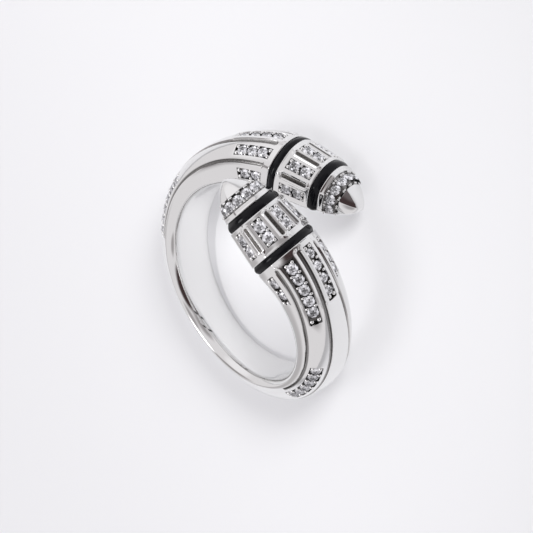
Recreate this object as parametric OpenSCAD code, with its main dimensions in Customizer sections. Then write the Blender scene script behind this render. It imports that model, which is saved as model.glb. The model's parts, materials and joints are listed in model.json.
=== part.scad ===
// Bypass ring of polished silver: two faceted arms cross over the finger.
// Each arm ends in a barrel and a bullet tip, with black enamel rings and pave stones.
// The finger hole's axis is nearly upright, because the ring lies on its side.
// A section point is [height over the finger hole, distance towards the arm's own face].

/* [Finger hole] */
// Radius of the finger hole
finger_r = 9; // [8:0.1:10.5]

/* [Arms] */
// Depth of the engraved grooves between the facets
groove_depth = 0.2; // [0.1:0.02:0.3]
// Width of the engraved grooves at the shank's end
groove_foot_w = 0.2; // [0.16:0.02:0.3]
// Width of the engraved grooves next to the head and on the barrel
groove_head_w = 0.32; // [0.2:0.02:0.4]
// Bulge in the middle of each facet
facet_bulge = 0.14; // [0:0.02:0.25]
// Angle from the shank's middle to the first enamel ring
head_a = 160; // [159.4:0.2:161]

/* [Heads] */
// Length of the arm's plain lip before the first enamel ring
arm_lip = 0.06; // [0:0.02:0.2]
// Width of the enamel ring between arm and barrel
lower_enamel_w = 0.64; // [0.5:0.02:1]
// Length of the barrel
barrel_len = 3.52; // [3.4:0.02:4]
// Width of the enamel ring between barrel and tip
upper_enamel_w = 0.76; // [0.6:0.02:1.1]
// Length of the tip beyond the second enamel ring
tip_len = 3.25; // [2.8:0.05:3.6]
// Size of the barrel's far end, as a share of its near end
barrel_taper = 0.89; // [0.8:0.01:1]
// Size of the tip's collar, on the same scale
collar_size = 0.8; // [0.76:0.01:0.84]
// Size of the neck under the enamel, as a share of the metal beside it
neck_size = 0.86; // [0.8:0.01:0.92]

/* [Stones] */
// Diameter of a stone on arms and barrels
stone_d = 0.98; // [0.8:0.02:1]
// Diameter of a stone in the tip's row
tip_stone_d = 0.86; // [0.7:0.02:0.88]
// Depth of the pockets that the stones stand in
pocket_depth = 0.58; // [0.56:0.01:0.64]
// Width of a pocket across its facet
pocket_w = 1.16; // [1.12:0.02:1.3]

/* [Resting] */
// Turn about the left-right axis that lays the ring on its side
rest_pitch = 12.8; // [-15:0.1:15]
// Turn about the front-back axis that lays the ring on its side
rest_roll = 2.05; // [-15:0.05:15]

/* [Hidden] */

// Sections of an arm from the shank's middle to the head
// Columns: angle, side step, half width, shoulder height, crown height, half crown, lower bevel,
// and how much narrower the crown is on the arm's own side
ARM = [
    [0, 0, 1.98, 0.85, 1.75, 1.17, 0.55, 0],
    [55, 0.31, 2.34, 0.9, 2.36, 1.37, 0.55, 0.07],
    [105, 1.22, 2.65, 1.72, 3.08, 1.24, 0.6, 0.15],
    [140, 2.35, 2.8, 2.52, 3.79, 1.1, 0.55, 0.16],
    [160, 3.28, 2.98, 2.94, 4.41, 1.08, 0.6, 0.16]];
ANGLE = 0;
STEP = 1;
HALF_W = 2;
SHOULDER = 3;
CROWN = 4;
HALF_CROWN = 5;
BEVEL = 6;
CROWN_STEP = 7;

// Facets of a section, from the face towards the other arm to the arm's own face
INNER_SIDE = 0;
INNER_SLOPE = 1;
TOP = 2;
OUTER_SLOPE = 3;
OUTER_SIDE = 4;
FACETS = 5;

// Stone panels behind the first enamel ring
// Columns: facet, angle at the head end, angle at the shank end, angles of the stones
PANELS = [
    [INNER_SIDE, 155.6, 142.3, [151.6, 145.7]],
    [INNER_SLOPE, 156.7, 140.3, [152.6, 147.9, 143.1]],
    [TOP, 157.2, 136, [154.1, 149.6, 144.4, 139]],
    [OUTER_SLOPE, 156.7, 129.8, [154.2, 150.3, 145.5, 139.8, 134.5]],
    [OUTER_SIDE, 156.2, 142.3, [153.5, 147.3]]];
// Second stone panel, near the shank: the same columns without the facet
STRIP = [101.5, 66.5, [98.9, 93.1, 87.2, 81.2, 75.2, 69.1]];
// Angles of the head end and the shank end of the grooves at the four corners between facets
GROOVES = [[156.2, 66], [156.7, 66], [157.7, 66], [157.2, 68]];
// From here on the arm's sections turn into the head's own
blend_a = 148;

// The head's axis, seen from the last arm section
head_axis_h = 1.97;
head_dip = 3.8;
head_turn = 7.1;
// How far the tip's end lies under the head's axis
tip_drop = 0.7;

barrel_start = arm_lip + lower_enamel_w;
barrel_end = barrel_start + barrel_len;
tip_start = barrel_end + upper_enamel_w;
// Barrel panels: distances of their ends from the barrel's ends, and of the stones from its start
panel_inset = [0.63, 0.42];
BARREL_STONES = [1.23, 2.38];
edge_round = 0.14;
edge_share = 0.975;

// The tip's pave band, row of stones and ogive, as shares of the tip's length
pave_start = 0.15;
pave_end = 0.517;
tip_row = 0.332;
TIP_STONES = 8;
tip_spread = 0.35;
ogive_steps = [0.62, 0.74, 0.84, 0.92, 0.97];
ogive_fullness = 1.2;
ogive_roundness = 0.65;
pave_inset = 0.21;

inner_overlap = 0.12;
bevel_height = 0.6;
least_rim = 0.15;
pocket_wall = 0.05;
wall_angle = 0.2;
wall_step = 0.03;
enamel_gap = 0.03;
enamel_share = 0.975;
arm_step = 7;
barrel_steps = 4;
clear_angle = 2.5;
look_angle = 0.5;
bore_len = 24;
bore_sides = 180;

// Girdle of a stone under the facet's middle, and its shape as shares of its radius
seat_sink = 0.16;
stone_sides = 8;
table_share = 0.58;
crown_share = 0.32;
pavilion_share = 0.78;

function unit(v) = v / norm(v);
function mix(a, b, f) = a + (b - a) * f;
function smooth(x) = let(t = min(max(x, 0), 1)) t * t * (3 - 2 * t);
function between(v, a, b) = v > min(a, b) && v < max(a, b);
function half_turn(p) = [-p[0], p[1], -p[2]];

// Smooth curve through one column of the arm's sections
function slope(col, i) =
    let(last = len(ARM) - 1)
    i == 0 ? (col == STEP || col == CROWN_STEP ? ARM[1][col] / ARM[1][ANGLE] : 0)
    : let(k = min(i + 1, last))
      (ARM[k][col] - ARM[i - 1][col]) / (ARM[k][ANGLE] - ARM[i - 1][ANGLE]);
function span_of(a, i = 0) = i == len(ARM) - 2 || a < ARM[i + 1][ANGLE] ? i : span_of(a, i + 1);
function at(col, a) =
    let(i = span_of(a), d = ARM[i + 1][ANGLE] - ARM[i][ANGLE], t = (a - ARM[i][ANGLE]) / d)
    ARM[i][col] * (1 + 2 * t) * (1 - t) * (1 - t) + slope(col, i) * d * t * (1 - t) * (1 - t)
    + ARM[i + 1][col] * t * t * (3 - 2 * t) - slope(col, i + 1) * d * t * t * (1 - t);

// Corners of a section, from the finger hole's inner edge round to the outer edge
function corners(a) =
    let(w = at(HALF_W, a), low = at(BEVEL, a), up = at(SHOULDER, a),
        top = at(CROWN, a), crown = at(HALF_CROWN, a))
    [[-inner_overlap, low - w], [low * bevel_height, -w], [up, -w], [top, -crown],
     [top, crown - at(CROWN_STEP, a)], [up, w], [low * bevel_height, w], [-inner_overlap, w - low]];

function outward(p, q) = unit([q[1] - p[1], p[0] - q[0]]);

// Four points along a facet: pocket rim, floor, floor, rim
function facet_points(p, q, depth) =
    let(len_f = norm(q - p), rim = max((1 - pocket_w / len_f) / 2, least_rim),
        wall = pocket_wall / len_f, n = outward(p, q))
    [for (s = [[rim, 0], [rim + wall, depth], [1 - rim - wall, depth], [1 - rim, 0]])
        mix(p, q, s[0]) + n * (4 * facet_bulge * s[0] * (1 - s[0]) - s[1])];

// Three points at the corner between two facets: groove edge, floor, groove edge
function corner_points(p, c, q, depth, groove_w) =
    let(n = unit(outward(p, c) + outward(c, q)))
    [c + unit(p - c) * groove_w / 2, c - n * depth, c + unit(q - c) * groove_w / 2];
function groove_width(a) =
    mix(groove_foot_w, groove_head_w, smooth((a - GROOVES[0][1]) / (head_a - GROOVES[0][1])));

// One whole section: the pockets' and grooves' depths switch with the place on the arm
function section(a, pockets, grooves) =
    let(c = corners(a))
    [c[0],
     each [for (f = [0 : FACETS - 1]) each concat(
        f == 0 ? [c[1]] : corner_points(c[f], c[f + 1], c[f + 2], grooves[f - 1], groove_width(a)),
        facet_points(c[f + 1], c[f + 2], pockets[f]))],
     c[6], c[7]];

// Place of an arm section in space
function radial(a) = [sin(a), -cos(a), 0];
function centre_line(a) = finger_r * radial(a) + [0, 0, at(STEP, a)];
function along(a) =
    let(before = a < look_angle ? half_turn(centre_line(look_angle)) : centre_line(a - look_angle),
        after = centre_line(min(a + look_angle, head_a)))
    unit(after - before);
function arm_point(a, p) =
    let(share = smooth((a - blend_a) / (head_a - blend_a)),
        up = mix(radial(a), head_up, share),
        side = mix(cross(radial(a), along(a)), head_side, share),
        behind = (a - head_a) * PI / 180 * (finger_r + head_axis_h),
        foot = head_origin - head_axis_h * head_up + behind * head_axis)
    mix(centre_line(a), foot, share) + p[0] * up + p[1] * side;

// Place of a head section in space: s along the head's axis, k its size
head_axis = unit(along(head_a) - tan(head_dip) * radial(head_a)
    - tan(head_turn) * cross(radial(head_a), along(head_a)));
head_up = unit(radial(head_a) - (radial(head_a) * head_axis) * head_axis);
head_side = cross(head_up, head_axis);
head_origin = centre_line(head_a) + head_axis_h * radial(head_a);
function tip_shift(s) = -tip_drop * max((s - tip_start) / tip_len, 0) * head_up;
function head_point(s, k, p) =
    head_origin + s * head_axis + tip_shift(s)
    + k * ((p[0] - head_axis_h) * head_up + p[1] * head_side);
function tip_size(f) = collar_size * pow(1 - pow(f, ogive_fullness), ogive_roundness);
function barrel_size(s) = mix(1, barrel_taper, (s - barrel_start) / barrel_len);

// Which pockets are open at an angle, and the grooves' depths there
function has_strip(facet, low_arm) = facet == (low_arm ? INNER_SLOPE : OUTER_SLOPE);
function pocket_at(a, low_arm) =
    [for (p = PANELS) between(a, p[1], p[2])
        || (has_strip(p[0], low_arm) && between(a, STRIP[0], STRIP[1])) ? pocket_depth : 0];
function groove_at(a) = [for (g = GROOVES) between(a, g[0], g[1]) ? groove_depth : 0];

// Angles of the arm's sections: even steps, and a pair at each end of a pocket or groove
function sorted(v) =
    len(v) < 2 ? v
    : let(m = v[0])
      concat(sorted([for (x = v) if (x < m) x]), [m], sorted([for (x = v) if (x > m) x]));
breaks = sorted(concat([STRIP[0], STRIP[1]], [for (g = GROOVES) each g],
    [for (p = PANELS) each [p[1], p[2]]]));
function clear_of_breaks(a) = min([for (b = breaks) abs(a - b)]) > clear_angle;
arm_angles = sorted(concat([for (a = [0 : arm_step : head_a]) if (clear_of_breaks(a)) a],
    [for (b = breaks) each [b - wall_angle, b + wall_angle]]));

NO_POCKETS = [0, 0, 0, 0, 0];
ALL_POCKETS = [for (f = [0 : FACETS - 1]) pocket_depth];
NO_GROOVES = [0, 0, 0, 0];
ALL_GROOVES = [for (g = GROOVES) groove_depth];

function arm_ring(a, low_arm) =
    [for (p = section(a, pocket_at(a, low_arm), groove_at(a))) arm_point(a, p)];
function head_ring(s, k, pockets = NO_POCKETS, grooves = NO_GROOVES) =
    [for (p = section(head_a, pockets, grooves)) head_point(s, k, p)];

panel_s0 = barrel_start + panel_inset[0];
panel_s1 = barrel_end - panel_inset[1];
function carved_ring(s) = head_ring(s, barrel_size(s), ALL_POCKETS, ALL_GROOVES);
barrel_rings = concat(
    [head_ring(barrel_start, edge_share * barrel_size(barrel_start)),
     head_ring(barrel_start + edge_round, barrel_size(barrel_start)),
     head_ring(panel_s0 - wall_step, barrel_size(panel_s0))],
    [for (f = [0 : 1 / barrel_steps : 1])
        carved_ring(mix(panel_s0 + wall_step, panel_s1 - wall_step, f))],
    [head_ring(panel_s1 + wall_step, barrel_size(panel_s1)),
     head_ring(barrel_end - edge_round, barrel_size(barrel_end)),
     head_ring(barrel_end, edge_share * barrel_size(barrel_end))]);

tip_rings = concat(
    [head_ring(tip_start, edge_share * collar_size),
     head_ring(tip_start + edge_round, collar_size),
     head_ring(tip_start + pave_start * tip_len, tip_size(pave_start)),
     head_ring(tip_start + pave_start * tip_len + wall_step, tip_size(pave_start) - pave_inset),
     head_ring(tip_start + pave_end * tip_len - wall_step, tip_size(pave_end) - pave_inset),
     head_ring(tip_start + pave_end * tip_len, tip_size(pave_end))],
    [for (f = ogive_steps) head_ring(tip_start + f * tip_len, tip_size(f))]);

head_rings = concat(
    [head_ring(arm_lip - edge_round, 1), head_ring(arm_lip, edge_share),
     head_ring(arm_lip + wall_step, neck_size), head_ring(barrel_start - wall_step, neck_size)],
    barrel_rings,
    [head_ring(barrel_end + wall_step, neck_size * barrel_taper),
     head_ring(tip_start - wall_step, neck_size * collar_size)],
    tip_rings);

// The band's rings from the lower arm's tip over the shank to the upper arm's tip
function half_band(low_arm) = concat([for (a = arm_angles) arm_ring(a, low_arm)], head_rings);
function reversed(v) = [for (i = [len(v) - 1 : -1 : 0]) v[i]];
function without_first(v) = [for (i = [1 : len(v) - 1]) v[i]];
low_rings = [for (r = reversed(without_first(half_band(true)))) [for (p = reversed(r)) half_turn(p)]];
band_rings = concat(low_rings, half_band(false));

// Where the laid ring's box lies, so that it is centred and its lowest point is on the surface
function pitched(p, a) = [p[0], p[1] * cos(a) - p[2] * sin(a), p[1] * sin(a) + p[2] * cos(a)];
function rolled(p, a) = [p[0] * cos(a) + p[2] * sin(a), p[1], p[2] * cos(a) - p[0] * sin(a)];
laid_points = [for (r = band_rings, p = r) rolled(pitched(p, rest_pitch), rest_roll)];
function lowest(axis) = min([for (p = laid_points) p[axis]]);
function highest(axis) = max([for (p = laid_points) p[axis]]);
rest_move = [-mix(lowest(0), highest(0), 0.5), -mix(lowest(1), highest(1), 0.5), -lowest(2)];

// Closed skin over a row of rings that all have the same number of points
module skin(rings) {
    n = len(rings[0]);
    last = len(rings) - 1;
    points = [for (r = rings) each r];
    walls = [for (i = [0 : last - 1], j = [0 : n - 1])
        let(k = (j + 1) % n, a = i * n + j, b = i * n + k)
        each [[a, b, a + n], [b, b + n, a + n]]];
    polyhedron(points, concat(walls,
        [reversed([for (j = [0 : n - 1]) j])], [[for (j = [0 : n - 1]) last * n + j]]));
}

// Closed band whose four edges are rings
module skin_loop(rings) {
    n = len(rings[0]);
    m = len(rings);
    polyhedron([for (r = rings) each r],
        [for (i = [0 : m - 1], j = [0 : n - 1])
            let(k = (j + 1) % n, next = (i + 1) % m,
                a = i * n + j, b = i * n + k, c = next * n + j, d = next * n + k)
            each [[a, b, c], [b, d, c]]]);
}

// Lays a piece down as the ring rests
module resting() {
    translate(rest_move) rotate([rest_pitch, rest_roll, 0]) children();
}

// The lower arm is the upper arm's shape after half a turn about the front-back axis
module lower_arm() {
    rotate([0, 180, 0]) children();
}

module finger_hole(r) {
    cylinder(r = r, h = bore_len, center = true, $fn = bore_sides);
}

module band() {
    color("silver") resting() difference() {
        skin(band_rings);
        finger_hole(finger_r);
    }
}

// Enamel fills the groove between two sizes of the head's section
module enamel(s0, s1, outer0, outer1, inner0, inner1) {
    color("black") skin_loop([
        head_ring(s0 + enamel_gap, outer0), head_ring(s1 - enamel_gap, outer1),
        head_ring(s1 - enamel_gap, inner1), head_ring(s0 + enamel_gap, inner0)]);
}

// The ring next to the arm also stays out of the finger hole
module enamel_lower() {
    inner = neck_size + enamel_gap / 2;
    color("black") difference() {
        enamel(arm_lip + wall_step, barrel_start - wall_step, enamel_share, enamel_share, inner, inner);
        finger_hole(finger_r + enamel_gap);
    }
}

module enamel_upper() {
    gap = enamel_gap / 2;
    enamel(barrel_end + wall_step, tip_start - wall_step,
        enamel_share * barrel_taper, enamel_share * collar_size,
        neck_size * barrel_taper + gap, neck_size * collar_size + gap);
}

// A cut stone: eight-sided table, crown and pavilion, seated at a point with its own axes
module stone(place, across, up, d) {
    r = d / 2;
    x = unit(across - (across * up) * up);
    y = cross(up, x);
    function loop(share, h) = [for (i = [0 : stone_sides - 1])
        let(t = 360 * (i + 0.5) / stone_sides)
        place + r * (share * cos(t) * x + share * sin(t) * y + h * up)];
    color("white") polyhedron(
        concat(loop(table_share, crown_share), loop(1, 0), [place - r * pavilion_share * up]),
        concat([[for (i = [0 : stone_sides - 1]) stone_sides - 1 - i]],
            [for (i = [0 : stone_sides - 1]) let(k = (i + 1) % stone_sides, n = stone_sides)
                each [[i, k, n + i], [k, n + k, n + i], [n + i, n + k, 2 * n]]]));
}

// Point on a facet of a section, with the section's own directions there
function facet_middle(c, f, share = 0.5) =
    mix(c[f + 1], c[f + 2], share)
    + outward(c[f + 1], c[f + 2]) * 4 * facet_bulge * share * (1 - share);

module arm_stone(a, f) {
    c = corners(a);
    p = facet_middle(c, f);
    n2 = outward(c[f + 1], c[f + 2]);
    up = unit(arm_point(a, p + n2) - arm_point(a, p));
    stone(arm_point(a, p - n2 * seat_sink), along(a), up, stone_d);
}

module arm_stones(low_arm) {
    for (p = PANELS, a = p[3]) arm_stone(a, p[0]);
    for (a = STRIP[2]) arm_stone(a, low_arm ? INNER_SLOPE : OUTER_SLOPE);
}

// A stone on a head section: p is its place on the section and n2 points outward there
module head_stone(s, k, p, n2, d) {
    up = unit(head_point(s, 1, p + n2) - head_point(s, 1, p));
    stone(head_point(s, k, p) - up * seat_sink * d / stone_d, head_axis, up, d);
}

module barrel_stones_all() {
    c = corners(head_a);
    for (f = [0 : FACETS - 1], place = BARREL_STONES) {
        s = barrel_start + place;
        head_stone(s, barrel_size(s), facet_middle(c, f), outward(c[f + 1], c[f + 2]), stone_d);
    }
}

// Walks along the five facets of a section: u is the distance from the first corner
function reach(c, f) = f < 0 ? 0 : reach(c, f - 1) + norm(c[f + 2] - c[f + 1]);
function facet_at(c, u, f = 0) = f == FACETS - 1 || u < reach(c, f) ? f : facet_at(c, u, f + 1);
function walk_point(c, u) =
    let(f = facet_at(c, u), before = reach(c, f - 1))
    facet_middle(c, f, (u - before) / (reach(c, f) - before));
function walk_normal(c, u) = let(f = facet_at(c, u)) outward(c[f + 1], c[f + 2]);

// The tip's one row, evenly spread round its five facets
module tip_stones_all() {
    c = corners(head_a);
    round_trip = reach(c, FACETS - 1);
    for (i = [0 : TIP_STONES - 1]) {
        u = round_trip * (i + 0.5) / TIP_STONES;
        n2 = unit(walk_normal(c, u - tip_spread) + walk_normal(c, u + tip_spread));
        head_stone(tip_start + tip_row * tip_len, tip_size(tip_row), walk_point(c, u), n2, tip_stone_d);
    }
}

band();
resting() lower_arm() enamel_lower();  // enamel_lower_a
resting() lower_arm() enamel_upper();  // enamel_upper_a
resting() enamel_lower();  // enamel_lower_b
resting() enamel_upper();  // enamel_upper_b
resting() lower_arm() arm_stones(true);  // stones_arm_a
resting() lower_arm() barrel_stones_all();  // stones_barrel_a
resting() lower_arm() tip_stones_all();  // stones_tip_a
resting() arm_stones(false);  // stones_arm_b
resting() barrel_stones_all();  // stones_barrel_b
resting() tip_stones_all();  // stones_tip_b
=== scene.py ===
"""Bypass ring of polished silver with black enamel rings and pave stones, lying on its side.

Shapes are worked out in millimetres in the ring's own frame, where Z is the finger hole's axis and
+Y points to the crossing of the arms. laid() then puts them into the frame of the resting ring.
"""
import json
import math

import bpy
import numpy as np
from mathutils import Matrix, Vector


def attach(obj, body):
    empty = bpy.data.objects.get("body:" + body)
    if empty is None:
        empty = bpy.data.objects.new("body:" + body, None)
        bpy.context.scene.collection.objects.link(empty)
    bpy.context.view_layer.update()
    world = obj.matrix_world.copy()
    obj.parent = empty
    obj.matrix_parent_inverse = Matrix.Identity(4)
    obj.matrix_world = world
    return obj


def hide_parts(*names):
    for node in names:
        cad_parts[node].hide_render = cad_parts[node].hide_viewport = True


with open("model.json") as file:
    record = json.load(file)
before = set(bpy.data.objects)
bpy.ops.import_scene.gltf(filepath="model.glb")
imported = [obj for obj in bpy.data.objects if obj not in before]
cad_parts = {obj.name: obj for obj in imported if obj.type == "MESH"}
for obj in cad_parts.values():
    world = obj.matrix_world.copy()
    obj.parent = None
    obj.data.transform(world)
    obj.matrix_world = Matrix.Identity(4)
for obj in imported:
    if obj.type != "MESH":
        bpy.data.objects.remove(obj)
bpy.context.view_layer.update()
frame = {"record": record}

MM = 0.001
TINY = 1e-9
FINGER_R = 9.0
REST_PITCH = math.radians(12.8)
REST_ROLL = math.radians(2.05)
HOLE = np.array(frame["record"]["mounts"][0]["pos_m"])

# Arm sections: angle, side step, half width, shoulder height, crown height, half crown, lower bevel,
# and how much narrower the crown is on the arm's own side
ARM = np.array([
    [0, 0, 1.98, 0.85, 1.75, 1.17, 0.55, 0],
    [55, 0.31, 2.34, 0.9, 2.36, 1.37, 0.55, 0.07],
    [105, 1.22, 2.65, 1.72, 3.08, 1.24, 0.6, 0.15],
    [140, 2.35, 2.8, 2.52, 3.79, 1.1, 0.55, 0.16],
    [160, 3.28, 2.98, 2.94, 4.41, 1.08, 0.6, 0.16]])
ANGLE, STEP, HALF_W, SHOULDER, CROWN, HALF_CROWN, BEVEL, CROWN_STEP = range(8)
HEAD_A = 160.0
FACET_BULGE = 0.14
BEVEL_HEIGHT = 0.6

# Head: axis height over the finger hole, dip and turn of the axis, how far the tip drops under it
HEAD_AXIS_H = 1.97
HEAD_DIP = math.radians(3.8)
HEAD_TURN = math.radians(7.1)
TIP_DROP = 0.7
ARM_LIP, LOWER_ENAMEL_W, BARREL_LEN, UPPER_ENAMEL_W, TIP_LEN = 0.02, 0.72, 3.44, 0.84, 3.21
# The arm's sections begin to turn into the head's sections here
BLEND_A = 148.0
BARREL_START = ARM_LIP + LOWER_ENAMEL_W
BARREL_END = BARREL_START + BARREL_LEN
TIP_START = BARREL_END + UPPER_ENAMEL_W
# Sizes of the sections along the head, as shares of the arm's last section
BARREL_TAPER, COLLAR_SIZE, NECK_SIZE = 0.89, 0.8, 0.86
OGIVE_FULLNESS, OGIVE_ROUNDNESS = 1.2, 0.65

# Facets of a section, from the face towards the other arm to the arm's own face
INNER_SIDE, INNER_SLOPE, TOP, OUTER_SLOPE, OUTER_SIDE = range(5)
# Stone panels behind the first enamel ring: facet, angle at the head end, angle at the shank end,
# angles of the stones, stone diameter. The strip near the shank has the same columns after the facet.
PANELS = [
    (INNER_SIDE, 155.6, 142.3, (151.6, 145.7), 0.92),
    (INNER_SLOPE, 156.7, 140.3, (152.6, 147.9, 143.1), 0.98),
    (TOP, 157.2, 136.0, (154.1, 149.6, 144.4, 139.0), 0.86),
    (OUTER_SLOPE, 156.7, 129.8, (154.2, 150.3, 145.5, 139.8, 134.5), 1.06),
    (OUTER_SIDE, 156.2, 142.3, (153.5, 147.3), 0.92)]
STRIP = (101.5, 66.5, (98.9, 93.1, 87.2, 81.2, 75.2, 69.1), 1.0)
# Grooves between the facets: corner, angles of both ends
GROOVES = [(1, 156.2, 66.0), (2, 156.7, 66.0), (3, 157.7, 66.0), (4, 157.2, 68.0)]
# Width of a groove at its shank end and on the head
GROOVE_W = (0.21, 0.37)
# Stones on the head, with their distances along it
BARREL_STONE_D, TIP_STONE_D = 1.08, 1.0
BARREL_STONES = (1.93, 3.08)
TIP_STONES, TIP_ROW_S = 8, 5.98


def unit(v):
    return v / np.linalg.norm(v, axis=-1, keepdims=True)


def mix(a, b, f):
    return a + (b - a) * f


def smooth(x):
    x = np.clip(x, 0, 1)
    return x * x * (3 - 2 * x)


def laid(points):
    """Points of the ring's own frame, in the frame of the resting ring, in metres."""
    return HOLE + MM * np.asarray(points) @ LAY.T


def turn_matrix(angle, axis):
    return np.array(Matrix.Rotation(angle, 3, axis))


LAY = turn_matrix(REST_ROLL, "Y") @ turn_matrix(REST_PITCH, "X")
HALF_TURN = np.array([-1.0, 1.0, -1.0])


def column(col, a):
    """One column of the arm's sections as a smooth curve over the angle."""
    x, y = ARM[:, ANGLE], ARM[:, col]
    slopes = np.zeros(len(x))
    slopes[1:-1] = (y[2:] - y[:-2]) / (x[2:] - x[:-2])
    slopes[0] = (y[1] - y[0]) / (x[1] - x[0]) if col in (STEP, CROWN_STEP) else 0
    slopes[-1] = (y[-1] - y[-2]) / (x[-1] - x[-2])
    i = np.clip(np.searchsorted(x, a, side="right") - 1, 0, len(x) - 2)
    d = x[i + 1] - x[i]
    t = (a - x[i]) / d
    return (y[i] * (1 + 2 * t) * (1 - t) ** 2 + slopes[i] * d * t * (1 - t) ** 2
            + y[i + 1] * t * t * (3 - 2 * t) - slopes[i + 1] * d * t * t * (1 - t))


def radial(a):
    t = np.radians(a)
    return np.stack([np.sin(t), -np.cos(t), 0 * t], -1)


def centre_line(a):
    a = np.asarray(a, float)
    line = FINGER_R * radial(np.abs(a))
    line[..., 2] = column(STEP, np.abs(a))
    return np.where((a < 0)[..., None], line * HALF_TURN, line)


def along(a):
    look = 0.5
    return unit(centre_line(np.minimum(a + look, HEAD_A)) - centre_line(a - look))


def corners(a):
    """The eight corners of a section as [height, side], from the finger hole's inner edge round."""
    w, low, up = column(HALF_W, a), column(BEVEL, a), column(SHOULDER, a)
    top, crown, zero = column(CROWN, a), column(HALF_CROWN, a), 0 * w
    pairs = [(zero, low - w), (low * BEVEL_HEIGHT, -w), (up, -w), (top, -crown),
             (top, crown - column(CROWN_STEP, a)), (up, w), (low * BEVEL_HEIGHT, w), (zero, w - low)]
    return np.stack([np.stack(p, -1) for p in pairs], -2)


HEAD_U = radial(HEAD_A)
HEAD_T = along(HEAD_A)
HEAD_AXIS = unit(HEAD_T - math.tan(HEAD_DIP) * HEAD_U - math.tan(HEAD_TURN) * np.cross(HEAD_U, HEAD_T))
HEAD_UP = unit(HEAD_U - (HEAD_U @ HEAD_AXIS) * HEAD_AXIS)
HEAD_SIDE = np.cross(HEAD_UP, HEAD_AXIS)
HEAD_ORIGIN = centre_line(HEAD_A) + HEAD_AXIS_H * HEAD_U


class Stations:
    """Rows of sections: where each one stands, its two directions, its size and its corners."""

    def __init__(self, origin, up, side, size, lift, section, groove_w):
        self.origin, self.up, self.side = origin, up, side
        self.size, self.lift, self.section, self.groove_w = size, lift, section, groove_w

    def place(self, p):
        flat = self.size[:, None, None] * (p - np.array([1.0, 0.0]) * self.lift)
        points = (self.origin[:, None] + flat[..., :1] * self.up[:, None]
                  + flat[..., 1:] * self.side[:, None])
        # No point lies inside the finger hole
        r = np.linalg.norm(points[..., :2], axis=-1)
        points[..., :2] *= np.maximum(1, FINGER_R / r)[..., None]
        return points


def arm_stations(a):
    """Sections of an arm, which turn smoothly into the head's own sections near the head."""
    a = np.asarray(a, float)
    up = radial(a)
    side = np.cross(up, along(a))
    share = smooth((a - BLEND_A) / (HEAD_A - BLEND_A))[:, None]
    behind = np.radians(a - HEAD_A)[:, None] * (FINGER_R + HEAD_AXIS_H)
    origin = mix(centre_line(a), HEAD_ORIGIN - HEAD_AXIS_H * HEAD_UP + behind * HEAD_AXIS, share)
    groove_w = mix(*GROOVE_W, smooth((a - GROOVES[0][2]) / (HEAD_A - GROOVES[0][2])))
    return Stations(origin, mix(up, HEAD_UP, share), mix(side, HEAD_SIDE, share), np.ones_like(a), 0.0,
                    corners(a), groove_w)


def head_stations(s, size):
    s = np.asarray(s, float)
    shift = -TIP_DROP * np.maximum((s - TIP_START) / TIP_LEN, 0)[:, None] * HEAD_UP
    ones = np.ones((len(s), 1))
    return Stations(HEAD_ORIGIN + s[:, None] * HEAD_AXIS + shift, ones * HEAD_UP, ones * HEAD_SIDE,
                    np.asarray(size, float), HEAD_AXIS_H,
                    np.repeat(corners(np.array([HEAD_A])), len(s), 0), np.full(len(s), GROOVE_W[1]))


def barrel_size(s):
    return mix(1, BARREL_TAPER, (s - BARREL_START) / BARREL_LEN)


def tip_size(f):
    return COLLAR_SIZE * (1 - f ** OGIVE_FULLNESS) ** OGIVE_ROUNDNESS


# Half width of the pockets on each facet
POCKET_HALF = np.array([0.47, 0.5, 0.44, 0.53, 0.48])

# Points along a section. A facet's points lie at fixed distances from its corners and its middle,
# where the grooves and pockets have their edges, with a few points spread between.
SIDES = 8
FACETS = 5
FINGER_SIDE = 6
CORNER_POINTS = np.array([0, 0.05, 0.1, 0.14, 0.17, 0.2, 0.25, 0.33])
MIDDLE_POINTS = np.array([1.2, 1.07, 1.02, 0.97, 0.9, 0.7, 0.35, 0])
FILL_POINTS = 2
FILL_ROOM = 0.1
BEVEL_POINTS = 6
FINGER_POINTS = 14
# Radii of the rounded corners, and the most that a corner takes of the shorter side beside it
CORNER_ROUND = 0.13
BEVEL_ROUND = 0.5
MOST_ROUND = 0.48
# Reach of the handles of a rounded corner's curve, as a share of its radius
PULL = 0.56
# The enamel follows the same sections, softer, sunk at its edges and bulging between them
ENAMEL_ROUND, ENAMEL_SINK, ENAMEL_BULGE, ENAMEL_GAP = 0.8, 0.04, 0.045, 0.012
ENAMEL_STEPS, ENAMEL_INNER_GAP = 12, 0.005


def facet_positions(length, groove_w, pocket_half):
    """Distances from a facet's first corner, for each row's facet length and groove width."""
    reach = CORNER_POINTS[-1] + MIDDLE_POINTS[0] * pocket_half
    k = np.minimum(1, length / 2 / (reach + FILL_ROOM))[:, None]
    near = CORNER_POINTS * k * (groove_w / GROOVE_W[1])[:, None]
    middle = length[:, None] / 2 - MIDDLE_POINTS * pocket_half * k
    steps = np.arange(1, FILL_POINTS + 1) / (FILL_POINTS + 1)
    fill = mix(near[:, -1:], middle[:, :1], steps)
    half = np.concatenate([near, fill, middle], 1)
    return np.concatenate([half, length[:, None] - half[:, -2:0:-1]], 1)


def plain_positions(length, count):
    return length[:, None] * np.arange(count) / count


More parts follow.
